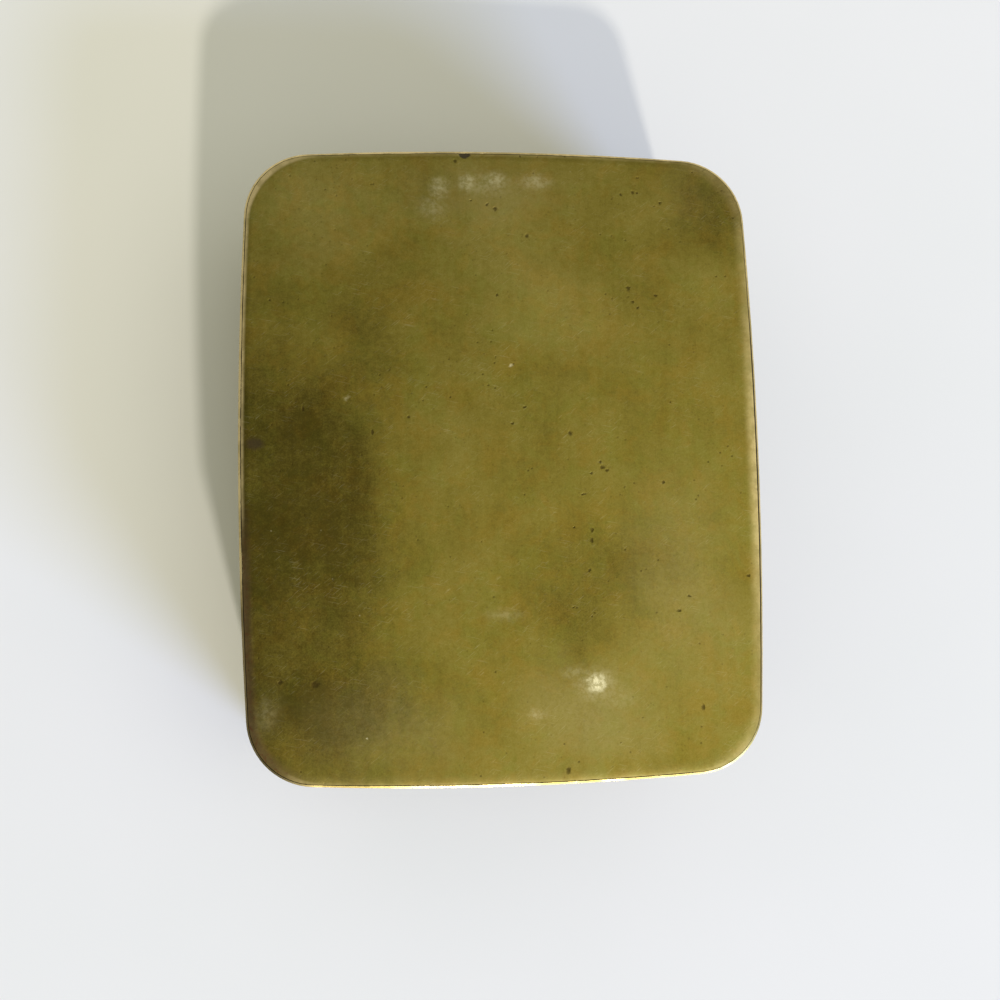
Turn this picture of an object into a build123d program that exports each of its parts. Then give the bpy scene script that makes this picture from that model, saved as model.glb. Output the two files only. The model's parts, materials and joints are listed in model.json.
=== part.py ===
from build123d import *
import math
import os

# Hinged brass trinket box with bowed sides: sheet bands, let-in plates and a riveted butt hinge.
# Millimetres. +Z is up, the front faces -Y and the hinge is at +Y.
# The origin is the middle of the underside.

# Plan of the box
width = 66.4            # across the middle of the two long sides
length = 80.9           # across the middle of the two short sides
side_bow = 1.3          # how far each long side bows out
end_bow = 1.25          # how far each short side bows out
corner_radius = 8.5

# Heights
body_height = 21.5      # from the table to the parting line
lid_height = 9.0        # from the parting line to the lid's face
parting_gap = 0.1

# Sheet
plate_thickness = 1.0   # lid plate and base plate
plate_proud = 0.2       # how far each plate stands out of its band
worn_width = 0.6        # slope worn round the lid plate's face, from above
worn_drop = 0.1         # how far that slope falls
worn_round = 3.0        # round between the slope and the face
rim_worn_width = 0.28   # slope worn round the top of the lid's band
rim_worn_drop = 0.11
base_plate_bevel = 0.2  # filed edge of the base plate
plate_seam = 0.09       # gap round each plate
body_wall = 0.9
lip_side = 0.3          # edge of the band that shows round a plate, at the long sides
lip_end = 0.28          # the same, at the short sides
lip_corner = 0.16       # the same, at the corners
band_bevel = 0.1        # filed lower edge of the body's band

# Collar inside the body, which the lid closes over
collar_wall = 0.6
collar_play = 0.15      # between the collar and the lid's band
collar_rise = 2.4       # above the parting line
collar_depth = 6.0      # below the parting line
collar_lead = 0.25      # bevel round the collar's top

# Thumb nick in the front of the body, under the lid
nick_width = 12.0
nick_depth = 0.5
nick_height = 1.8
nick_round = 0.4

# Hinge
hinge_length = 30.0
body_knuckles = 3       # the lid's leaf has one fewer, in between
knuckle_radius = 1.0
knuckle_gap = 0.12      # between two knuckles, along the pin
swing_clearance = 0.12  # round the knuckles: to the slot, the collar and the other leaf
pin_radius = 0.5
pin_running = 0.05      # radial clearance in the lid's knuckles
pin_tight = 0.01        # radial clearance in the body's knuckles
pin_head_radius = 0.8
pin_head_height = 0.35
open_stop = 114.0       # lid angle at which the two leaves meet, in degrees
stop_margin = 0.02      # leaf's corner outside the knuckle clearance
leaf_height = 5.4       # from the pin's axis to the far edge of a leaf
leaf_corner = 1.2

# Rivets, the same on both leaves
rivets_per_leaf = 3
rivet_radius = 0.5
rivet_head_radius = 0.9
rivet_head_height = 0.3
rivet_from_edge = 1.6   # from a rivet's centre to the far edge of the leaf
rivet_from_end = 4.0    # from the last rivet's centre to the end of the leaf
rivet_play = 0.01

# Worked out from the sizes above
height = body_height + lid_height
rim_wall = body_wall - collar_play
axis_offset = knuckle_radius + swing_clearance - body_wall
axis_y = length / 2 + axis_offset
axis_z = body_height
body_top = body_height - parting_gap / 2
rim_bottom = body_height + parting_gap / 2
stop_radius = knuckle_radius + swing_clearance + stop_margin
leaf_edge = stop_radius * math.sin(math.radians(open_stop / 2))
leaf_face = stop_radius * math.cos(math.radians(open_stop / 2))
leaf_thickness = axis_offset + leaf_face
knuckle_count = 2 * body_knuckles - 1
knuckle_pitch = hinge_length / knuckle_count
body_knuckle_numbers = range(0, knuckle_count, 2)
lid_knuckle_numbers = range(1, knuckle_count, 2)
rivet_from_axis = leaf_height - rivet_from_edge
rivet_spacing = (hinge_length - 2 * rivet_from_end) / (rivets_per_leaf - 1)


def arc_radius(chord, bow):
    """Radius of the arc that stands out by bow over a chord."""
    return ((chord / 2) ** 2 + bow**2) / (2 * bow)


side_arc_radius = arc_radius(length - 2 * end_bow, side_bow)
end_arc_radius = arc_radius(width - 2 * side_bow, end_bow)


def bowed_plan(across, along, side_radius, end_radius, corner):
    """A rectangle with bowed sides, cut by four wide discs, with round corners."""
    right = Pos(across / 2 - side_radius, 0) * Rot(0, 0, 180) * Circle(side_radius)
    rear = Pos(0, along / 2 - end_radius) * Rot(0, 0, -90) * Circle(end_radius)
    face = right & mirror(right, Plane.YZ) & rear & mirror(rear, Plane.XZ)
    return fillet(face.vertices(), corner)


def plan(inset=0.0):
    """Plan of the box, moved in from its outer surface by inset."""
    return bowed_plan(
        width - 2 * inset,
        length - 2 * inset,
        side_arc_radius - inset,
        end_arc_radius - inset,
        corner_radius - inset,
    )


def rebate_plan(gap=0.0):
    """Plan of the hollow that takes a plate, inside a band's lip, or smaller by a gap all round."""
    side_radius = arc_radius(length - 2 * (end_bow + lip_corner), side_bow - lip_side + lip_corner)
    end_radius = arc_radius(width - 2 * (side_bow + lip_corner), end_bow - lip_end + lip_corner)
    return bowed_plan(
        width - 2 * (lip_side + gap),
        length - 2 * (lip_end + gap),
        side_radius - gap,
        end_radius - gap,
        corner_radius - lip_corner - gap,
    )


def prism(face, bottom, top):
    """The plan face as a solid from one height to another."""
    return Pos(0, 0, bottom) * extrude(face, top - bottom)


def outer_edges(solid, place):
    """The outermost edges of a solid's lowest face, where place is 0, or highest, where it is -1."""
    return solid.faces().sort_by(Axis.Z)[place].outer_wire().edges()


def worn_down(solid, across, drop):
    """A solid whose highest face slopes down to its outer edge."""
    face = solid.faces().sort_by(Axis.Z)[-1]
    return chamfer(outer_edges(solid, -1), across, drop, reference=face)


def bar(radius, start, end):
    """A round bar along the hinge's axis, from one X to another."""
    return Pos((start + end) / 2, axis_y, axis_z) * Rot(0, 90, 0) * Cylinder(radius, end - start)


def hinge_slot():
    """Slot that lets the barrel into the two bands, as far in as the collar."""
    across = hinge_length + 2 * (pin_head_height + swing_clearance)
    through = 2 * (body_wall + end_bow)
    return Pos(0, length / 2, axis_z) * Box(across, through, 2 * (knuckle_radius + swing_clearance))


def rear_seats(level):
    """Places on the outer face of the rear wall, one for each rivet, +Y along the wall's normal."""
    arc_middle = Pos(0, length / 2 - end_arc_radius, level)
    first = rivet_from_end - hinge_length / 2
    seats = []
    for i in range(rivets_per_leaf):
        turn = math.degrees(math.asin((first + rivet_spacing * i) / end_arc_radius))
        seats.append(arc_middle * Rot(0, 0, -turn) * Pos(0, end_arc_radius, 0))
    return seats


def rivet_level(side):
    """Height of a leaf's rivets: side is -1 for the body's leaf and +1 for the lid's."""
    return axis_z + side * rivet_from_axis


def drilled(solid, side):
    """A rear wall or leaf with the rivets' holes through it."""
    across = 2 * (leaf_thickness + body_wall)
    hole = Rot(90, 0, 0) * Cylinder(rivet_radius + rivet_play, across)
    for seat in rear_seats(rivet_level(side)):
        solid -= seat * hole
    return solid


def plate(bottom):
    """Flat plate that fits a band's rebate with the seam's gap all round."""
    return prism(rebate_plan(plate_seam), bottom, bottom + plate_thickness)


def make_base_plate():
    return chamfer(outer_edges(plate(0), 0), base_plate_bevel)


def make_lid_plate():
    """Lid plate whose face falls away a little all round, where hands have worn it."""
    lid = worn_down(plate(height - plate_thickness), worn_width, worn_drop)
    return fillet(outer_edges(lid, -1), worn_round)


def thumb_nick():
    """Scoop for a fingernail: the edge of a wide disc with a rounded lower rim."""
    disc_radius = arc_radius(nick_width, nick_depth)
    disc = Cylinder(disc_radius, nick_height)
    disc = fillet(disc.edges().sort_by(Axis.Z)[0], nick_round)
    return Pos(0, nick_depth - length / 2 - disc_radius, body_top - nick_height / 2) * disc


def make_body_wall():
    """Body band, rebated below for the base plate."""
    band = prism(plan() - plan(body_wall), plate_proud, body_top)
    band -= prism(rebate_plan(), plate_proud, plate_thickness)
    band = chamfer(outer_edges(band, 0), band_bevel)
    return drilled(band - hinge_slot() - thumb_nick(), -1)


def make_inner_collar():
    """Strip inside the body band that stands up into the lid."""
    bottom = body_height - collar_depth
    top = body_height + collar_rise
    strip = prism(plan(body_wall) - plan(body_wall + collar_wall), bottom, top)
    return chamfer(outer_edges(strip, -1), collar_lead)


def make_lid_rim():
    """Lid band, rebated above for the lid plate."""
    top = height - plate_proud
    band = worn_down(prism(plan() - plan(rim_wall), rim_bottom, top), rim_worn_width, rim_worn_drop)
    band -= prism(rebate_plan(), height - plate_thickness, top)
    return drilled(band - hinge_slot(), 1)


def knuckle_span(number):
    """Where a knuckle starts and ends along the pin, counted from the left end."""
    start = knuckle_pitch * number - hinge_length / 2
    start_trim = knuckle_gap / 2 if number > 0 else 0
    end_trim = knuckle_gap / 2 if number < knuckle_count - 1 else 0
    return start + start_trim, start + knuckle_pitch - end_trim


def leaf_front(side, own):
    """Leaf seen square on: a strip with two round corners and a tab to each of its knuckles."""
    near = side * leaf_edge
    far = side * leaf_height
    strip = Pos(0, (near + far) / 2) * Rectangle(hinge_length, abs(far - near))
    rows = strip.vertices().group_by(Axis.Y)
    strip = fillet(rows[-1] if side > 0 else rows[0], leaf_corner)
    for number in own:
        start, end = knuckle_span(number)
        strip += Pos((start + end) / 2, near / 2) * Rectangle(end - start, abs(near))
    return strip


def make_leaf(side, own, others, clearance):
    """A leaf bent to the bow of the rear wall, with its knuckles bored for the pin."""
    sheet = prism(plan(-leaf_thickness) - plan(), axis_z - leaf_height, axis_z + leaf_height)
    front = Pos(0, axis_y, axis_z) * Rot(90, 0, 0) * leaf_front(side, own)
    leaf = sheet & extrude(front, length / 2, both=True)
    for number in others:
        start, end = knuckle_span(number)
        leaf -= bar(knuckle_radius + swing_clearance, start - knuckle_gap, end + knuckle_gap)
    for number in own:
        leaf += bar(knuckle_radius, *knuckle_span(number))
    leaf -= bar(pin_radius + clearance, -hinge_length, hinge_length)
    return drilled(leaf, side)


def make_body_leaf():
    return make_leaf(-1, body_knuckle_numbers, lid_knuckle_numbers, pin_tight)


def make_lid_leaf():
    return make_leaf(1, lid_knuckle_numbers, body_knuckle_numbers, pin_running)


def make_pin():
    """Hinge pin with a flattened head at each end."""
    half = hinge_length / 2
    pin = bar(pin_radius, -half, half)
    pin += bar(pin_head_radius, half, half + pin_head_height)
    pin += bar(pin_head_radius, -half - pin_head_height, -half)
    return pin


def rivet_dome():
    """Low dome standing on the plane Z = 0."""
    ball_radius = arc_radius(2 * rivet_head_radius, rivet_head_height)
    ball = Pos(0, 0, rivet_head_height - ball_radius) * Sphere(ball_radius)
    return split(ball, Plane.XY, keep=Keep.TOP)


def make_rivets(side, wall):
    """Domed rivets through a leaf and the wall behind it, filed flush inside."""
    outer = leaf_thickness + rivet_play
    inner = rivet_play - wall
    rivet = Pos(0, (outer + inner) / 2, 0) * Rot(90, 0, 0) * Cylinder(rivet_radius, outer - inner)
    rivet += Pos(0, outer, 0) * Rot(-90, 0, 0) * rivet_dome()
    return Compound(children=[seat * rivet for seat in rear_seats(rivet_level(side))])


def make_body_rivets():
    return make_rivets(-1, body_wall)


def make_lid_rivets():
    return make_rivets(1, rim_wall)


pieces = {
    "base_plate": make_base_plate,
    "body_wall": make_body_wall,
    "inner_collar": make_inner_collar,
    "body_hinge_leaf": make_body_leaf,
    "body_leaf_rivets": make_body_rivets,
    "hinge_pin": make_pin,
    "lid_plate": make_lid_plate,
    "lid_rim": make_lid_rim,
    "lid_hinge_leaf": make_lid_leaf,
    "lid_leaf_rivets": make_lid_rivets,
}

os.makedirs("parts", exist_ok=True)
for name, make in pieces.items():
    export_step(make(), f"parts/{name}.step")
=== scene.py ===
import json
from math import cos, sin, tau

import bmesh
import bpy
from mathutils import Matrix, Vector


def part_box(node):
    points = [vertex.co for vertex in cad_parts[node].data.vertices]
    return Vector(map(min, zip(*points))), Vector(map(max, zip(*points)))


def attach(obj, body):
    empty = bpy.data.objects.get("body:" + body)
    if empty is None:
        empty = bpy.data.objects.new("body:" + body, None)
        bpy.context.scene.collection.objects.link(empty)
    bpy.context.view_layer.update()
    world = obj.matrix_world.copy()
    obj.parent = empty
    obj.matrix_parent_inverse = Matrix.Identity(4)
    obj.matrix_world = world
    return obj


# An old hinged brass trinket box, closed, lying on a pale table and seen from above.
# Objects are in metres. Materials work in millimetres, in each node's own space.

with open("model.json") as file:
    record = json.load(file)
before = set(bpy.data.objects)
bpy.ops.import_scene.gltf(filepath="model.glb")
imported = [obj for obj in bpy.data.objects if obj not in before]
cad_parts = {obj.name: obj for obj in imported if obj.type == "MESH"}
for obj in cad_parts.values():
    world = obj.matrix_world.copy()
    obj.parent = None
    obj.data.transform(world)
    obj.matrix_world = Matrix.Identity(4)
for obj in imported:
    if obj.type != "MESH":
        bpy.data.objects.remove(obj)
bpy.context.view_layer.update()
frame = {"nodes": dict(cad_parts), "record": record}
nodes = frame["nodes"]


def corners(name):
    """Lowest and highest corners of a CAD node, in millimetres."""
    low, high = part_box(name)
    return 1000 * low, 1000 * high


# Shape of the plan and of the hinge's barrel, as the CAD has them, in millimetres
SIDE_BOW = 1.3
END_BOW = 1.25
CORNER_RADIUS = 8.5
KNUCKLES = 5
KNUCKLE_GAP = 0.12
BORE_RADIUS = 0.51

# Sizes from the frame, in millimetres
band_low, band_high = corners("body_wall")
plate_low, plate_high = corners("lid_plate")
collar_low, collar_high = corners("inner_collar")
leaf_low, leaf_high = corners("lid_hinge_leaf")
rivets_low, rivets_high = corners("lid_leaf_rivets")
hinge = frame["record"]["behaviour"]["joints"][0]

HALF_WIDTH = band_high.x
HALF_LENGTH = -band_low.y
PARTING_LEVEL = 1000 * hinge["pos_m"][2]
LID_TOP = plate_high.z
LID_UNDER = plate_low.z
RIM_TOP = corners("lid_rim")[1].z
BAND_FOOT = band_low.z
COLLAR_TOP = collar_high.z
COLLAR_FOOT = collar_low.z
BASE_TOP = corners("base_plate")[1].z
HINGE_HALF = leaf_high.x
LEAF_REACH = leaf_high.z - PARTING_LEVEL
RIVET_REACH = (rivets_low.z + rivets_high.z) / 2 - PARTING_LEVEL
RIVET_SPACING = rivets_high.x - (rivets_high.z - rivets_low.z) / 2
KNUCKLE_PITCH = 2 * HINGE_HALF / KNUCKLES
KNUCKLE_RADIUS = (leaf_high.y - leaf_low.y) / 2
PIN_AXIS = 1000 * hinge["pos_m"][1]


def colour(red, green, blue):
    """A colour given as screen values from 0 to 255, as linear RGBA."""
    return [((c / 255 + 0.055) / 1.055) ** 2.4 for c in (red, green, blue)] + [1.0]


# Brass, from its darkest patina to its palest
PATINA = [
    (0.0, colour(50, 43, 13)),
    (0.25, colour(80, 70, 24)),
    (0.5, colour(118, 106, 41)),
    (0.75, colour(140, 128, 62)),
    (1.0, colour(176, 162, 102)),
]
WARM_TINT = (1.07, 0.975, 0.89, 1.0)
GREEN_TINT = (0.95, 1.015, 0.96, 1.0)
BARE_BRASS = colour(222, 200, 138)
PALE_RUB = colour(214, 205, 158)
HAZE = colour(150, 137, 84)
# Dark dirt, also used as painted shade in seams, crevices and joints
GRIME_AND_SHADE = colour(42, 32, 15)
PIT_BROWN = colour(62, 50, 20)
RED_GRIME = colour(98, 58, 34)
EDGE_BROWN = colour(110, 88, 60)
STAIN = colour(66, 55, 40)


class Graph:
    """A tree of shader nodes, and short ways to add to it."""

    def __init__(self, tree):
        self.tree = tree
        tree.nodes.clear()

    def add(self, kind, inputs=None, **settings):
        """Adds a node, with its settings and what goes into its sockets."""
        node = self.tree.nodes.new(kind)
        for key, value in settings.items():
            setattr(node, key, value)
        for key, value in (inputs or {}).items():
            if isinstance(value, bpy.types.NodeSocket):
                self.tree.links.new(value, node.inputs[key])
            else:
                node.inputs[key].default_value = value
        return node

    def maths(self, operation, first, second=0.0, third=0.0):
        inputs = {0: first, 1: second, 2: third}
        return self.add("ShaderNodeMath", inputs, operation=operation).outputs[0]

    def plus(self, *values):
        total = values[0]
        for value in values[1:]:
            total = self.maths("ADD", total, value)
        return total

    def times(self, *values):
        product = values[0]
        for value in values[1:]:
            product = self.maths("MULTIPLY", product, value)
        return product

    def most(self, *values):
        largest = values[0]
        for value in values[1:]:
            largest = self.maths("MAXIMUM", largest, value)
        return largest

    def size_of(self, value):
        return self.maths("ABSOLUTE", value)

    def centred(self, value, strength):
        """A pattern from 0 to 1, as a change either way of half its strength."""
        return self.maths("MULTIPLY_ADD", value, strength, -strength / 2)

    def vector(self, operation, first, second=(0.0, 0.0, 0.0), scale=1.0):
        inputs = {0: first, 1: second, 3: scale}
        node = self.add("ShaderNodeVectorMath", inputs, operation=operation)
        return node.outputs["Value" if operation == "LENGTH" else "Vector"]

    def split(self, vector):
        node = self.add("ShaderNodeSeparateXYZ", {0: vector})
        return node.outputs[0], node.outputs[1], node.outputs[2]

    def fade(self, value, start, end, low=0.0, high=1.0):
        """Turns smoothly from low at start to high at end."""
        inputs = {"Value": value, "From Min": start, "From Max": end, "To Min": low, "To Max": high}
        node = self.add("ShaderNodeMapRange", inputs, interpolation_type="SMOOTHSTEP")
        return node.outputs["Result"]

    def near(self, value, middle, reach):
        """1 where the value is at the middle, 0 where it is further off than its reach."""
        gap = self.size_of(self.maths("SUBTRACT", value, middle))
        return self.fade(gap, 0.0, reach, low=1.0, high=0.0)

    def blend(self, share, first, second, kind="MIX"):
        inputs = {0: share, 6: first, 7: second}
        return self.add("ShaderNodeMix", inputs, data_type="RGBA", blend_type=kind).outputs[2]

    def tones(self, value, stops):
        """The colour of a value from 0 to 1 along a row of stops."""
        node = self.add("ShaderNodeValToRGB", {0: value})
        ramp = node.color_ramp
        while len(ramp.elements) < len(stops):
            ramp.elements.new(0.5)
        for element, (position, shade) in zip(ramp.elements, stops):
            element.position = position
            element.color = shade
        return node.outputs[0]


class Shade(Graph):
    """The node graph of one material, with the place and the facing of each point."""

    def __init__(self, name):
        self.material = bpy.data.materials.new(name)
        self.material.use_nodes = True
        super().__init__(self.material.node_tree)
        own_space = self.add("ShaderNodeTexCoord")
        self.place = self.vector("SCALE", own_space.outputs["Object"], scale=1000.0)
        self.x, self.y, self.z = self.split(self.place)
        self.facing_x, self.facing_y, self.facing_z = self.split(own_space.outputs["Normal"])

    def clouds(self, size, seed, detail=3.0, rough=0.55, stretch=(1, 1, 1), turn=0.0, bend=0.0):
        """A cloudy noise node, which also gives three patterns as a colour."""
        inputs = {"Vector": self.place, "Location": (7.3 * seed, 3.1 * seed, 5.7 * seed)}
        inputs.update({"Rotation": (0, 0, turn), "Scale": [size * s for s in stretch]})
        where = self.add("ShaderNodeMapping", inputs, vector_type="TEXTURE").outputs[0]
        inputs = {"Vector": where, "Scale": 1.0, "Detail": detail, "Roughness": rough, "Distortion": bend}
        return self.add("ShaderNodeTexNoise", inputs, noise_dimensions="3D")

    def noise(self, *args, **settings):
        """A cloudy pattern from 0 to 1 whose patches are about as large as its first value."""
        return self.fade(self.clouds(*args, **settings).outputs[0], 0.2, 0.8)

    def ragged_place(self, size, seed, reach):
        """The place, moved here and there by up to about reach, which roughens the spots made on it."""
        shift = self.vector("SUBTRACT", self.clouds(size, seed, detail=2.0).outputs[1], (0.5, 0.5, 0.5))
        return self.vector("ADD", self.place, self.vector("SCALE", shift, scale=4.0 * reach))

    def pits(self, spacing, radius, seed, cover=0.5):
        """Small round pits, one for each cell, where a cloud leaves room for them."""
        where = self.vector("ADD", self.place, (7.3 * seed, 3.1 * seed, 5.7 * seed))
        node = self.add("ShaderNodeTexVoronoi", {"Vector": where, "Scale": 1.0 / spacing})
        pit = self.fade(node.outputs["Distance"], radius / spacing, 0.2 * radius / spacing)
        room = self.fade(self.noise(spacing * 4.0, seed + 3.1), 1.0 - cover, 1.2 - cover)
        return self.times(pit, room)

    def hairlines(self, seed, stretch, turn=0.0, share=0.8):
        """Thin straight scratches, all in about one direction."""
        lines = self.noise(1.0, seed, detail=1.0, rough=0.5, stretch=stretch, turn=turn)
        return self.fade(lines, share, share + 0.12)

    def spot(self, where, middle, radii, soft=0.5):
        """1 inside an oval round middle and 0 outside, with a soft edge."""
        shift = [-m / r for m, r in zip(middle, radii)]
        inputs = {0: where, 1: [1.0 / r for r in radii], 2: shift}
        from_middle = self.add("ShaderNodeVectorMath", inputs, operation="MULTIPLY_ADD").outputs[0]
        return self.fade(self.vector("LENGTH", from_middle), 1.0, 1.0 - soft)

    def outline(self):
        """Distance from the box's outer outline in plan, below zero inside it."""
        along = self.maths("DIVIDE", self.y, HALF_LENGTH)
        across = self.maths("DIVIDE", self.x, HALF_WIDTH)
        bowed_x = self.maths("MULTIPLY_ADD", self.times(along, along), SIDE_BOW, self.size_of(self.x))
        bowed_y = self.maths("MULTIPLY_ADD", self.times(across, across), END_BOW, self.size_of(self.y))
        past_x = self.maths("SUBTRACT", bowed_x, HALF_WIDTH - CORNER_RADIUS)
        past_y = self.maths("SUBTRACT", bowed_y, HALF_LENGTH - CORNER_RADIUS)
        outside_x = self.most(past_x, 0.0)
        outside_y = self.most(past_y, 0.0)
        squares = self.plus(self.times(outside_x, outside_x), self.times(outside_y, outside_y))
        corner = self.maths("SQRT", squares)
        inside = self.maths("MINIMUM", self.most(past_x, past_y), 0.0)
        return self.plus(corner, inside, -CORNER_RADIUS)

    def finish(self, base, roughness, metallic, height):
        """Brass from a colour, a roughness, a share of bare metal and a height in millimetres."""
        bump = self.add("ShaderNodeBump", {"Distance": 0.001, "Strength": 1.0, "Height": height})
        inputs = {"Base Color": base, "Roughness": roughness, "Metallic": metallic}
        inputs["Normal"] = bump.outputs[0]
        brass = self.add("ShaderNodeBsdfPrincipled", inputs)
        self.add("ShaderNodeOutputMaterial", {"Surface": brass.outputs[0]})
        return self.material


# How long the marks of drawing are along X, Y and Z, against the size of their pattern
ALONG_THE_LID = (1.0, 9.0, 9.0)
ROUND_THE_BOX = (9.0, 9.0, 1.0)

# How far each pattern moves the tone of the brass, from its darkest to its palest place
CLOUDS_TONE = 0.11
PATCHES_TONE = 0.085
MOTTLE_TONE = 0.08
GRAIN_TONE = 0.09
FIBRES_TONE = 0.09
STREAKS_TONE = 0.04
FINE_STREAKS_TONE = 0.025

# How strongly the small marks are painted on it
FLECKS_PAINT = 0.3
PALE_SPECKS_PAINT = 0.22
SPECKS_PAINT = 0.55
FAINT_SCRATCHES_PAINT = 0.02
CLEAR_SCRATCHES_PAINT = 0.13


def aged_brass(name, seed, shape, level=0.5, draw=ALONG_THE_LID, rough=0.4):
    """Old satin brass. shape(shade) adds what is particular to one piece, as lists of
    tone changes, rubbed places, paint, grime together with painted shade in seams, crevices and joints,
    and heights."""
    shade = Shade(name)
    clouds = shade.noise(15.0, seed, detail=3.0, rough=0.5, bend=0.6)
    patches = shade.noise(5.5, seed + 1.7, detail=3.0, rough=0.6)
    mottle = shade.noise(0.9, seed + 2.9, detail=4.0, rough=0.6)
    grain = shade.noise(0.22, seed + 4.3, detail=2.0, rough=0.6)
    fibres = shade.noise(0.6, seed + 14.9, detail=2.0, rough=0.7, bend=3.0)
    streaks = shade.noise(1.3, seed + 5.9, detail=3.0, rough=0.6, stretch=draw)
    fine_draw = [3.0 * s if s > 1 else 1.0 for s in draw]
    fine_streaks = shade.noise(0.3, seed + 6.1, detail=2.0, rough=0.6, stretch=fine_draw)
    warmth = shade.noise(4.0, seed + 7.7, detail=5.0, rough=0.7, bend=0.5)
    greenness = shade.noise(5.0, seed + 8.3, detail=5.0, rough=0.68, bend=0.5)
    specks = shade.pits(1.2, 0.19, seed + 9.1, cover=0.45)
    flecks = shade.pits(0.7, 0.17, seed + 15.3, cover=0.55)
    pale_specks = shade.pits(2.3, 0.15, seed + 10.3, cover=0.3)
    if draw == ALONG_THE_LID:
        scratches = shade.most(
            shade.hairlines(seed + 12.7, (0.09, 1.5, 1.5), turn=-0.9, share=0.86),
            shade.hairlines(seed + 13.9, (0.1, 2.5, 2.5), turn=1.35, share=0.88),
        )
    else:
        scratches = shade.hairlines(seed + 12.7, (7.0, 7.0, 0.1), turn=0.0, share=0.88)
    extra = shape(shade)
    tone = shade.plus(
        level,
        shade.centred(clouds, CLOUDS_TONE),
        shade.centred(patches, PATCHES_TONE),
        shade.centred(mottle, MOTTLE_TONE),
        shade.centred(grain, GRAIN_TONE),
        shade.centred(fibres, FIBRES_TONE),
        shade.centred(streaks, STREAKS_TONE),
        shade.centred(fine_streaks, FINE_STREAKS_TONE),
        *extra.get("tone", []),
    )
    base = shade.tones(tone, PATINA)
    base = shade.blend(shade.fade(warmth, 0.35, 0.85), base, WARM_TINT, kind="MULTIPLY")
    base = shade.blend(shade.fade(greenness, 0.4, 0.85), base, GREEN_TINT, kind="MULTIPLY")
    base = shade.blend(shade.times(flecks, FLECKS_PAINT), base, PIT_BROWN)
    base = shade.blend(shade.times(pale_specks, PALE_SPECKS_PAINT), base, PALE_RUB)
    scratch_paint = shade.fade(patches, 0.2, 0.9, low=FAINT_SCRATCHES_PAINT, high=CLEAR_SCRATCHES_PAINT)
    base = shade.blend(shade.times(scratches, scratch_paint), base, PALE_RUB)
    rubbed = shade.most(0.0, *extra.get("rubbed", []))
    base = shade.blend(rubbed, base, BARE_BRASS)
    for share, paint in extra.get("paint", []):
        base = shade.blend(share, base, paint)
    base = shade.blend(shade.times(specks, SPECKS_PAINT), base, PIT_BROWN)
    # grime here is both dirt and painted shade in seams, crevices and joints
    grime_and_shade = shade.most(0.0, *extra.get("grime_and_shade", []))
    base = shade.blend(grime_and_shade, base, GRIME_AND_SHADE)
    roughness = shade.plus(
        rough,
        shade.centred(clouds, 0.06),
        shade.centred(mottle, 0.07),
        shade.times(rubbed, -0.12),
        shade.times(grime_and_shade, 0.25),
    )
    metallic = shade.maths("MULTIPLY_ADD", grime_and_shade, -0.5, 1.0)
    height = shade.plus(
        shade.times(clouds, 0.05),
        shade.times(mottle, 0.003),
        shade.times(specks, -0.02),
        *extra.get("height", []),
    )
    return shade.finish(base, roughness, metallic, height)


# Marks on the lid's face, in millimetres
FACE_TONES = [
    # x, y, radius across, radius along, change of tone
    (-22.0, -16.0, 9.0, 12.0, -0.02),
    (-25.0, -31.0, 14.0, 9.0, -0.2),
    (-13.0, -30.0, 9.0, 10.0, -0.1),
    (-24.0, 33.0, 15.0, 14.0, 0.22),
    (-24.0, 19.0, 9.0, 12.0, 0.06),
    (-19.0, 7.0, 7.0, 8.0, 0.05),
    (-2.0, 30.0, 14.0, 10.0, 0.09),
    (6.0, 20.0, 12.0, 11.0, 0.11),
    (28.0, 34.0, 10.0, 10.0, -0.15),
    (30.0, 25.0, 9.0, 8.0, 0.06),
    (18.0, 22.0, 8.0, 7.0, -0.08),
    (8.5, -18.0, 12.0, 13.0, -0.17),
    (18.0, -12.0, 8.0, 9.0, -0.08),
    (0.0, 2.0, 9.0, 7.0, -0.03),
    (24.0, -29.0, 17.0, 12.0, 0.03),
    (3.0, -37.0, 15.0, 7.0, 0.05),
    (30.0, 2.0, 8.0, 26.0, 0.03),
]
FACE_HAZES = [
    # x, y, radius across, radius along, strength
    (-2.0, 35.0, 15.0, 7.0, 0.3),
    (10.0, -31.0, 14.0, 10.0, 0.36),
    (22.0, -16.0, 11.0, 22.0, 0.25),
    (-15.0, -33.0, 15.0, 9.0, 0.24),
    (24.0, 35.0, 9.0, 7.0, 0.1),
    (-29.5, -31.0, 3.5, 5.5, 0.16),
]
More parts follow.
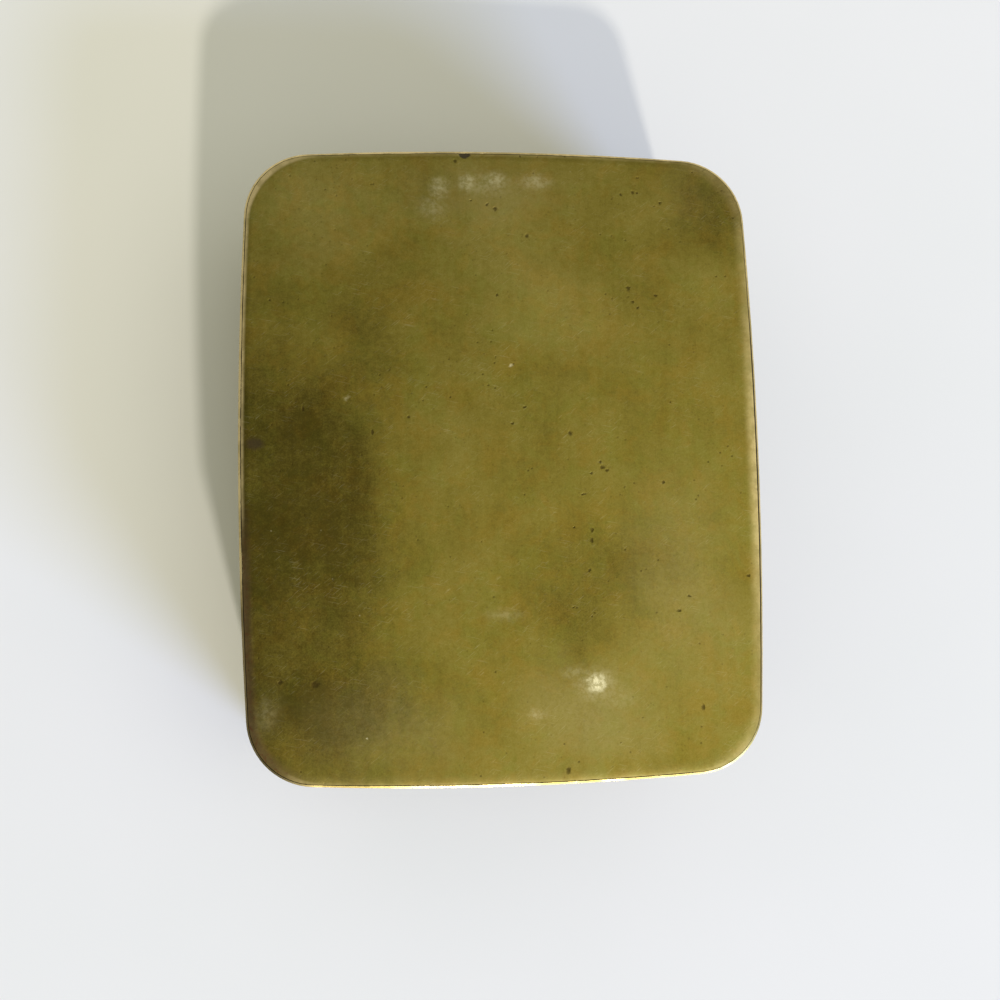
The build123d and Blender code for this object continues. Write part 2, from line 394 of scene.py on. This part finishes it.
FACE_PITS = [
    # x, y, radius across, radius along
    (-0.5, 32.8, 0.34, 0.38),
    (-1.5, 33.4, 0.26, 0.26),
    (17.6, 35.3, 0.3, 0.42),
    (16.6, 22.5, 0.36, 0.42),
    (17.2, 20.7, 0.3, 0.3),
    (8.5, 3.6, 0.42, 0.48),
    (10.9, -10.1, 0.32, 0.5),
    (11.0, -8.8, 0.28, 0.4),
    (12.6, -0.8, 0.46, 0.36),
    (7.1, -38.7, 0.46, 0.6),
    (-24.0, -27.3, 0.66, 0.55),
    (-28.2, -26.9, 0.42, 0.34),
    (31.1, -14.9, 0.3, 0.34),
    (20.4, -2.8, 0.26, 0.26),
    (24.6, -31.4, 0.32, 0.6),
    (21.9, -19.2, 0.4, 0.3),
    (10.5, -13.9, 0.32, 0.32),
    (2.9, 39.8, 0.2, 0.24),
    (5.2, 39.9, 0.18, 0.18),
    (8.8, 39.9, 0.2, 0.26),
    (-5.5, 39.1, 0.3, 0.3),
    (18.2, 35.2, 0.26, 0.26),
    (16.0, 35.0, 0.2, 0.24),
    (18.3, 37.2, 0.24, 0.2),
    (21.2, 33.9, 0.3, 0.24),
    (-3.6, 33.9, 0.24, 0.2),
    (3.6, 29.3, 0.3, 0.5),
    (-0.5, 21.5, 0.26, 0.24),
    (17.8, 20.0, 0.26, 0.24),
    (20.2, 21.6, 0.34, 0.3),
    (2.7, 7.0, 0.34, 0.2),
    (1.1, 4.9, 0.22, 0.26),
    (-12.0, 5.8, 0.24, 0.24),
    (12.3, -0.1, 0.24, 0.3),
    (13.1, -1.2, 0.4, 0.24),
    (11.1, -1.5, 0.24, 0.24),
    (10.0, -4.2, 0.4, 0.2),
    (8.7, -8.4, 0.22, 0.22),
    (8.3, -18.5, 0.22, 0.22),
    (23.3, -17.4, 0.34, 0.2),
    (-25.2, 6.9, 0.26, 0.5),
    (-16.6, 3.9, 0.24, 0.4),
    (-29.2, 20.7, 0.24, 0.24),
]
FACE_SCUFFS_AND_GLINT = [
    # x, y, radius across, radius along, strength
    (-7.7, 35.5, 1.9, 2.1, 0.32),
    (-4.0, 36.3, 1.6, 1.6, 0.36),
    (-0.3, 36.6, 2.4, 1.7, 0.32),
    (-1.8, 36.0, 5.0, 2.4, 0.14),
    (4.9, 36.5, 3.2, 1.6, 0.24),
    (-8.6, 32.8, 2.8, 2.2, 0.16),
    # a bright worn spot whose paleness is partly a painted highlight of a dent
    (11.2, -28.1, 1.9, 1.9, 1.0),
    (11.0, -28.2, 3.4, 2.8, 0.22),
    (8.2, -26.6, 2.4, 1.4, 0.1),
    (13.6, -30.0, 3.4, 1.8, 0.06),
    (-0.4, -19.3, 3.4, 1.3, 0.1),
    (3.4, -31.8, 1.7, 1.1, 0.17),
    (-30.0, -30.8, 1.7, 3.0, 0.08),
    (-19.8, 8.2, 0.6, 0.4, 0.4),
    (1.0, 12.4, 0.4, 0.4, 0.6),
    (-17.7, -34.0, 0.3, 0.3, 0.7),
]


# Two marks at the edge of the face: where each is, and its radii
EDGE_STAIN = ((-31.2, 2.5, LID_TOP), (1.6, 1.1, 1.5))
EDGE_NOTCH = ((-4.3, 40.0, LID_TOP), (0.9, 0.6, 1.5))

# Radii of the other marks up and down, enough to reach over the worn edge
PATCH_DEPTH = 9.0
PIT_DEPTH = 0.6
SCUFF_AND_GLINT_DEPTH = 0.9


def lid_face(shade):
    """Marks of age on the outer face of the lid, its worn edge and its inside. The dark band on the left
    is partly patina and partly a painted dark reflection, and the plate's steep sides get grime and
    painted shade.
    """
    top = shade.fade(shade.z, LID_UNDER + 0.3, LID_UNDER + 0.6)
    patchy = shade.ragged_place(6.0, 53.0, 1.8)
    uneven = shade.ragged_place(1.1, 51.0, 0.3)
    ragged = shade.ragged_place(0.5, 55.0, 0.12)
    powder = shade.noise(0.6, 56.0, detail=4.0, rough=0.7)
    outline = shade.outline()
    across, along, _ = shade.split(patchy)
    from_band = shade.size_of(shade.plus(along, 7.0))
    # Darker band on the left of the face: partly patina, partly a painted reflection of something dark
    # above the left
    dark_patina_and_reflection = shade.times(
        shade.fade(across, -9.5, -21.0),
        shade.fade(from_band, 2.0, 38.0, low=1.0, high=0.1),
    )
    tone = shade.maths("MULTIPLY_ADD", dark_patina_and_reflection, -0.26, 0.02)
    for x, y, across, along, change in FACE_TONES:
        patch = shade.spot(patchy, (x, y, LID_TOP), (across, along, PATCH_DEPTH), soft=0.95)
        tone = shade.maths("MULTIPLY_ADD", patch, change, tone)
    hazes = 0.0
    for x, y, across, along, strength in FACE_HAZES:
        haze = shade.spot(patchy, (x, y, LID_TOP), (across, along, PATCH_DEPTH), soft=1.0)
        hazes = shade.most(hazes, shade.times(haze, strength))
    hazes = shade.times(hazes, shade.fade(powder, 0.2, 0.8, low=0.75, high=1.25))
    pits = 0.0
    for x, y, across, along in FACE_PITS:
        pits = shade.most(pits, shade.spot(ragged, (x, y, LID_TOP), (across, along, PIT_DEPTH), soft=0.8))
    scuffs_and_glint = 0.0
    for x, y, across, along, strength in FACE_SCUFFS_AND_GLINT:
        scuff_and_glint_spot = shade.spot(uneven, (x, y, LID_TOP), (across, along, SCUFF_AND_GLINT_DEPTH), soft=1.0)
        scuffs_and_glint = shade.most(scuffs_and_glint, shade.times(scuff_and_glint_spot, strength))
    scuffs_and_glint = shade.times(scuffs_and_glint, shade.fade(powder, 0.25, 0.75, low=0.45, high=1.3))
    stain = shade.spot(ragged, *EDGE_STAIN, soft=0.7)
    notch = shade.spot(ragged, *EDGE_NOTCH, soft=0.35)
    worn = shade.fade(outline, -2.0, 0.3)
    edge = shade.fade(outline, -0.85, -0.4)
    at_left = shade.fade(shade.x, -20.0, -30.0)
    at_right = shade.fade(shade.x, 20.0, 30.0)
    at_front = shade.fade(shade.y, -30.0, -38.0)
    left_end = shade.times(shade.fade(shade.x, -24.0, -31.0), shade.fade(shade.y, -2.0, -14.0))
    unevenness = shade.fade(shade.noise(1.6, 58.0, detail=4.0, rough=0.6), 0.2, 0.8, low=0.7, high=1.15)
    right_wear = shade.fade(shade.size_of(shade.y), 0.0, 32.0, low=0.88, high=0.26)
    edge_wear = shade.times(
        shade.most(
            shade.times(worn, at_right, right_wear),
            shade.times(worn, at_front, 0.12),
            shade.times(edge, at_left, shade.fade(shade.y, 0.0, 12.0, low=0.7, high=0.9)),
            shade.times(edge, 0.2),
        ),
        shade.fade(left_end, 0.0, 0.8, low=1.0, high=0.1),
        unevenness,
    )
    rim_grime = shade.times(
        left_end,
        shade.fade(outline, -3.2, -0.6),
        shade.noise(1.1, 57.0, detail=4.0, rough=0.7),
    )
    edge_brown = shade.fade(outline, -1.7, -0.5, low=0.0, high=0.6)
    red_dots = shade.times(left_end, worn, shade.fade(shade.noise(0.4, 59.0), 0.6, 0.85))
    return {
        "tone": [shade.times(top, tone)],
        "rubbed": [shade.times(edge_wear, top)],
        "paint": [
            (shade.times(hazes, top), HAZE),
            (shade.times(scuffs_and_glint, top), PALE_RUB),
            (shade.times(pits, top, 0.75), PIT_BROWN),
            (shade.times(stain, 0.7), STAIN),
            (shade.times(left_end, edge_brown), EDGE_BROWN),
            (shade.times(rim_grime, 0.35), GRIME_AND_SHADE),
            (shade.times(red_dots, 0.7), RED_GRIME),
        ],
        "grime_and_shade": [
            shade.times(notch, 0.9),
            # dirt and painted shade on the plate's steep sides, down in the seam
            shade.times(shade.fade(shade.facing_z, 0.6, 0.3), top),
        ],
        "height": [
            shade.times(pits, -0.04),
            shade.times(notch, -0.12),
            shade.times(scuffs_and_glint, -0.01),
        ],
    }


def band(shade, low, high):
    """A drawn band: rubbed edges and corners, grime and painted shade by its seams, darker inside."""
    outline = shade.outline()
    outside = shade.fade(outline, -0.7, -0.6)
    inside = shade.maths("SUBTRACT", 1.0, outside)
    from_parting = shade.size_of(shade.maths("SUBTRACT", shade.z, PARTING_LEVEL))
    wear = shade.fade(shade.noise(4.0, 61.0, detail=4.0, rough=0.65), 0.25, 0.8, low=0.15, high=0.7)
    edges = shade.most(shade.near(shade.z, low, 0.45), shade.near(shade.z, high, 0.45))
    corner = shade.times(
        shade.fade(shade.size_of(shade.x), 24.0, 29.0),
        shade.fade(shade.size_of(shade.y), 31.0, 36.0),
    )
    lip = shade.times(shade.fade(shade.size_of(shade.facing_z), 0.5, 0.9), outside)
    at_plate = shade.times(lip, shade.fade(from_parting, 1.0, 2.0))
    dirty = shade.noise(6.0, 63.0, detail=5.0, rough=0.8)
    rubbing = shade.noise(5.0, 65.0, detail=4.0, rough=0.6)
    above_foot = shade.maths("SUBTRACT", shade.z, BAND_FOOT)
    at_right = shade.fade(shade.x, 20.0, 32.0)
    below_top = shade.fade(shade.y, 24.0, 14.0)
    at_front = shade.fade(shade.y, -30.0, -36.0)
    # Round x = -6 mm, where the low lamp's highlight falls, the front lip keeps its bare brass; elsewhere
    # it is dimmed: a partly painted highlight
    from_highlight_middle = shade.size_of(shade.plus(shade.x, 6.0))
    highlight_dimming_share = shade.times(at_front, shade.fade(from_highlight_middle, 5.0, 12.0))
    lip_dimmed_off_highlight = shade.fade(highlight_dimming_share, 0.0, 1.0, low=1.0, high=0.28)
    left_end = shade.times(shade.fade(shade.x, -23.0, -29.0), shade.fade(shade.y, -12.0, -20.0))
    return {
        "tone": [
            shade.times(corner, 0.12),
            shade.times(inside, -0.08),
            shade.times(shade.near(shade.z, (low + high) / 2, (high - low) / 2), -0.06),
        ],
        "rubbed": [
            shade.times(edges, wear, outside),
            # rubbed lip, brightest where the lamp's highlight falls: partly wear, partly painted
            # highlight
            shade.times(lip, shade.fade(dirty, 0.3, 0.8, low=1.0, high=0.6), lip_dimmed_off_highlight),
            shade.times(corner, outside, rubbing, 0.14),
        ],
        "paint": [(shade.times(shade.fade(dirty, 0.4, 1.0, low=0.0, high=0.25), outside), HAZE)],
        "grime_and_shade": [
            # grime and painted shade in the seam round the plate, wider at the right, and grime on the
            # lip at the lower left
            shade.times(at_plate, shade.fade(outline, -0.22, -0.29), shade.fade(dirty, 0.3, 0.6)),
            shade.times(at_plate, shade.fade(outline, -0.1, -0.24), at_right, below_top),
            shade.times(at_plate, left_end, 0.75),
            # grime and painted shade by the parting line inside, and darker towards the foot
            shade.times(shade.fade(from_parting, 1.6, 0.0), inside, 0.35),
            shade.times(shade.fade(above_foot, 2.5, 0.6, low=0.0, high=0.3), shade.fade(dirty, 0.2, 0.7)),
        ],
    }


def lid_band(shade):
    return band(shade, PARTING_LEVEL, RIM_TOP)


def body_band(shade):
    return band(shade, BAND_FOOT, PARTING_LEVEL)


def collar(shade):
    """The collar inside the body, rubbed bright where the lid slides over it, with grime and painted
    shade at its foot.
    """
    above = shade.fade(shade.z, PARTING_LEVEL - 0.3, PARTING_LEVEL + 0.3)
    scuffing = shade.noise(0.35, 71.0, detail=3.0, rough=0.65, stretch=(1.0, 1.0, 14.0))
    return {
        "tone": [shade.fade(above, 0.0, 1.0, low=-0.06, high=0.16)],
        "rubbed": [
            shade.times(above, shade.fade(scuffing, 0.4, 0.95), 0.5),
            shade.times(shade.near(shade.z, COLLAR_TOP, 0.35), 0.8),
        ],
        # grime and painted shade at the collar's foot
        "grime_and_shade": [shade.times(shade.near(shade.z, COLLAR_FOOT, 1.2), 0.5)],
    }


def underside(shade):
    """The plate the box stands on: scratched and rubbed below, darker inside, with grime and painted
    shade round its edge and along the walls inside.
    """
    below = shade.fade(shade.z, 0.6 * BASE_TOP, 0.4 * BASE_TOP)
    scratches = shade.most(
        shade.hairlines(81.0, (0.12, 16.0, 16.0), turn=0.2, share=0.84),
        shade.hairlines(83.0, (0.1, 12.0, 12.0), turn=1.8, share=0.88),
        shade.hairlines(85.0, (0.14, 20.0, 20.0), turn=-0.6, share=0.86),
    )
    handled = shade.fade(shade.noise(9.0, 89.0, detail=3.0, rough=0.6), 0.25, 0.8)
    scratches = shade.times(scratches, handled)
    outline = shade.outline()
    ring = shade.fade(outline, -6.0, -0.8)
    rubbing = shade.fade(shade.noise(2.4, 87.0, detail=4.0, rough=0.7), 0.45, 0.8)
    side = shade.fade(shade.facing_z, -0.3, 0.0)
    return {
        "tone": [shade.times(below, ring, 0.15), shade.fade(below, 1.0, 0.0, low=0.0, high=-0.06)],
        "rubbed": [
            shade.times(scratches, below, 0.3),
            shade.times(rubbing, ring, below, 0.35),
            shade.times(shade.fade(outline, -0.9, -0.6), below, 0.7),
        ],
        # grime and painted shade at the plate's edge and along the walls inside
        "grime_and_shade": [
            shade.times(side, shade.fade(outline, -0.6, -0.35)),
            shade.times(shade.fade(below, 1.0, 0.0), shade.fade(outline, -4.0, -1.6), 0.4),
        ],
        "height": [shade.times(scratches, below, -0.003)],
    }


def leaf(shade):
    """A leaf of the hinge: rubbed barrel and edges, grime and painted shade between the knuckles, by the
    rivets and along the barrel.
    """
    from_axis = shade.size_of(shade.maths("SUBTRACT", shade.z, PARTING_LEVEL))
    from_end = shade.maths("SUBTRACT", HINGE_HALF, shade.size_of(shade.x))
    barrel = shade.fade(from_axis, 1.1, 0.6)
    edges = shade.most(
        shade.fade(from_axis, LEAF_REACH - 0.35, LEAF_REACH),
        shade.fade(from_end, 0.35, 0.0),
    )
    joints = shade.maths("PINGPONG", shade.plus(shade.x, HINGE_HALF), KNUCKLE_PITCH / 2)
    joint_share = shade.fade(joints, 0.4, 0.1)
    rows = shade.near(from_axis, RIVET_REACH, 1.5)
    at_rivet = shade.most(*[shade.near(shade.x, n * RIVET_SPACING, 1.5) for n in (-1, 0, 1)])
    rubbing = shade.fade(shade.noise(0.6, 91.0), 0.2, 0.9, low=0.3, high=0.5)
    return {
        "tone": [shade.times(barrel, 0.12)],
        "rubbed": [shade.times(barrel, rubbing), shade.times(edges, 0.6)],
        "grime_and_shade": [
            # grime and painted shade between the knuckles, by the rivets and in the crease beside the
            # barrel
            shade.times(barrel, joint_share, 0.8),
            shade.times(rows, at_rivet, 0.7),
            shade.times(shade.near(from_axis, 1.3, 0.35), 0.8),
        ],
    }


def rivets(shade):
    """Rivet heads, rubbed on top, with grime and painted shade round the foot."""
    return {
        "rubbed": [shade.fade(shade.facing_y, 0.75, 0.97, low=0.0, high=0.6)],
        # grime and painted shade round the rivet's foot
        "grime_and_shade": [shade.fade(shade.facing_y, 0.8, 0.5)],
    }


def pin(shade):
    """The hinge pin, rubbed on its two heads."""
    return {"rubbed": [shade.fade(shade.size_of(shade.facing_x), 0.6, 0.95, low=0.0, high=0.7)]}


FINISHES = {
    "lid_plate": aged_brass("lid_plate_brass", 1.0, lid_face, 0.5),
    "lid_rim": aged_brass("lid_band_brass", 21.0, lid_band, 0.5, ROUND_THE_BOX),
    "body_wall": aged_brass("body_band_brass", 33.0, body_band, 0.5, ROUND_THE_BOX),
    "inner_collar": aged_brass("collar_brass", 45.0, collar, 0.55, ROUND_THE_BOX),
    "base_plate": aged_brass("base_plate_brass", 57.0, underside, 0.5),
    "body_hinge_leaf": aged_brass("hinge_leaf_brass", 69.0, leaf, 0.5, ROUND_THE_BOX),
    "body_leaf_rivets": aged_brass("rivet_brass", 81.0, rivets, 0.55),
    "hinge_pin": aged_brass("pin_brass", 93.0, pin, 0.55),
}
FINISHES["lid_hinge_leaf"] = FINISHES["body_hinge_leaf"]
FINISHES["lid_leaf_rivets"] = FINISHES["body_leaf_rivets"]

for name, finish in FINISHES.items():
    mesh = nodes[name].data
    mesh.materials.clear()
    mesh.materials.append(finish)


def middle_knuckle():
    """The middle one of the body's three knuckles, a tube round the pin, which the CAD leaf lacks."""
    sides = 96
    eased = 0.03
    crease = 0.5
    half = (KNUCKLE_PITCH - KNUCKLE_GAP) / 2
    profile = [
        # along the pin, out from its axis
        (-half, BORE_RADIUS),
        (-half, KNUCKLE_RADIUS - eased),
        (eased - half, KNUCKLE_RADIUS),
        (half - eased, KNUCKLE_RADIUS),
        (half, KNUCKLE_RADIUS - eased),
        (half, BORE_RADIUS),
    ]
    shape = bmesh.new()
    rings = []
    for side in range(sides):
        turn = tau * side / sides
        ring = []
        for x, out in profile:
            point = Vector((x, PIN_AXIS + out * cos(turn), PARTING_LEVEL + out * sin(turn)))
            ring.append(shape.verts.new(point / 1000))
        rings.append(ring)
    for ring, following in zip(rings, rings[1:] + rings[:1]):
        for n in range(len(profile)):
            shape.faces.new((ring[n - 1], ring[n], following[n], following[n - 1]))
    bmesh.ops.recalc_face_normals(shape, faces=shape.faces)
    mesh = bpy.data.meshes.new("middle_knuckle")
    shape.to_mesh(mesh)
    shape.free()
    mesh.shade_smooth()
    mesh.set_sharp_from_angle(angle=crease)
    mesh.materials.append(FINISHES["body_hinge_leaf"])
    knuckle = bpy.data.objects.new("middle_knuckle", mesh)
    bpy.context.scene.collection.objects.link(knuckle)
    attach(knuckle, "box")


middle_knuckle()


# The table's half width, in metres, and the two tones between which it wanders
TABLE_HALF = 1.5
TABLE_GREY = colour(229, 230, 232)
TABLE_WHITE = colour(232, 232, 235)


def table_top():
    """A wide pale table, whose colour wanders very slightly."""
    half = TABLE_HALF
    outer = [(-half, -half, 0), (half, -half, 0), (half, half, 0), (-half, half, 0)]
    mesh = bpy.data.meshes.new("table_top")
    mesh.from_pydata(outer, [], [(0, 1, 2, 3)])
    table = bpy.data.objects.new("table_top", mesh)
    bpy.context.scene.collection.objects.link(table)
    shade = Shade("pale_table")
    cloud = shade.noise(45.0, 101.0, detail=2.0, rough=0.5)
    base = shade.blend(cloud, TABLE_GREY, TABLE_WHITE)
    inputs = {"Base Color": base, "Roughness": 1.0, "Specular IOR Level": 0.0}
    surface = shade.add("ShaderNodeBsdfPrincipled", inputs)
    shade.add("ShaderNodeOutputMaterial", {"Surface": surface.outputs[0]})
    mesh.materials.append(shade.material)


table_top()


# The walls, as metal and the camera see them, and the light that the room gives
PALE_WALL = colour(236, 236, 238)
ROOM_LIGHT = (0.534, 0.524, 0.387, 1.0)


def room():
    """Even light all round. Metal and the camera see pale walls below a darker ceiling,
    which is darkest to the left."""
    world = bpy.data.worlds.new("room")
    bpy.context.scene.world = world
    world.use_nodes = True
    graph = Graph(world.node_tree)
    direction = graph.add("ShaderNodeTexCoord").outputs["Generated"]
    x, y, z = graph.split(direction)
    sideways = graph.plus(graph.times(x, 0.9), graph.times(y, -0.35))
    ceiling = graph.fade(sideways, -0.35, 0.5, low=0.45, high=0.9)
    picture = graph.blend(graph.fade(z, 0.35, 0.7), PALE_WALL, ceiling)
    rays = graph.add("ShaderNodeLightPath").outputs
    seen = graph.most(rays["Is Camera Ray"], rays["Is Glossy Ray"], rays["Is Transmission Ray"])
    light = graph.blend(seen, ROOM_LIGHT, picture)
    background = graph.add("ShaderNodeBackground", {"Color": light, "Strength": 1.0})
    graph.add("ShaderNodeOutputWorld", {"Surface": background.outputs[0]})


room()


def aim(name, light, direction, distance):
    """Places a lamp so that it shines at the middle of the box from a direction."""
    item = bpy.data.objects.new(name, light)
    bpy.context.scene.collection.objects.link(item)
    towards = Vector(direction).normalized()
    item.location = towards * distance
    item.rotation_mode = "QUATERNION"
    item.rotation_quaternion = towards.to_track_quat("Z", "Y")
    item.visible_camera = False


def far_lamp(name, direction, angle, strength, tint):
    """A lamp so far away that its light comes from the same direction everywhere."""
    light = bpy.data.lights.new(name, "SUN")
    light.angle = angle
    light.energy = strength
    light.color = tint
    aim(name, light, direction, 1.0)


def softbox(name, direction, distance, size, power, tint):
    """A round softbox."""
    light = bpy.data.lights.new(name, "AREA")
    light.shape = "DISK"
    light.size = size
    light.energy = power
    light.color = tint
    aim(name, light, direction, distance)


far_lamp(
    "low_lamp",
    direction=(0.285, -1.198, 1.0),
    angle=0.05,
    strength=1.285,
    tint=(1.0, 0.935, 0.783),
)
softbox(
    "window",
    direction=(0.67, -0.742, 0.51),
    distance=3.0,
    size=1.15,
    power=74.0,
    tint=(0.45, 0.56, 1.0),
)
softbox(
    "overhead_softbox",
    direction=(0.25, -0.1, 0.8),
    distance=0.85,
    size=0.6,
    power=0.9,
    tint=(1.0, 0.99, 0.95),
)

# The photograph's viewpoint, fitted to the outline of the box. The place is in metres.
CAMERA_PLACE = (-0.01986, -0.02118, 0.19883)
CAMERA_AHEAD = (0.11278, 0.0959, -0.98898)
CAMERA_UP = (0.01116, 0.99515, 0.09777)
LENS = 48.6
SENSOR_WIDTH = 36.0


def camera():
    """Looks almost straight down, from a little left of and before the middle of the box."""
    data = bpy.data.cameras.new("camera")
    data.sensor_width = SENSOR_WIDTH
    data.lens = LENS
    data.clip_start = 0.01
    data.clip_end = 10.0
    item = bpy.data.objects.new("camera", data)
    bpy.context.scene.collection.objects.link(item)
    ahead = Vector(CAMERA_AHEAD).normalized()
    right = ahead.cross(Vector(CAMERA_UP)).normalized()
    turned = Matrix((right, right.cross(ahead), -ahead)).transposed().to_4x4()
    item.matrix_world = Matrix.Translation(CAMERA_PLACE) @ turned
    bpy.context.scene.camera = item


camera()

bpy.context.scene.view_settings.view_transform = "Standard"
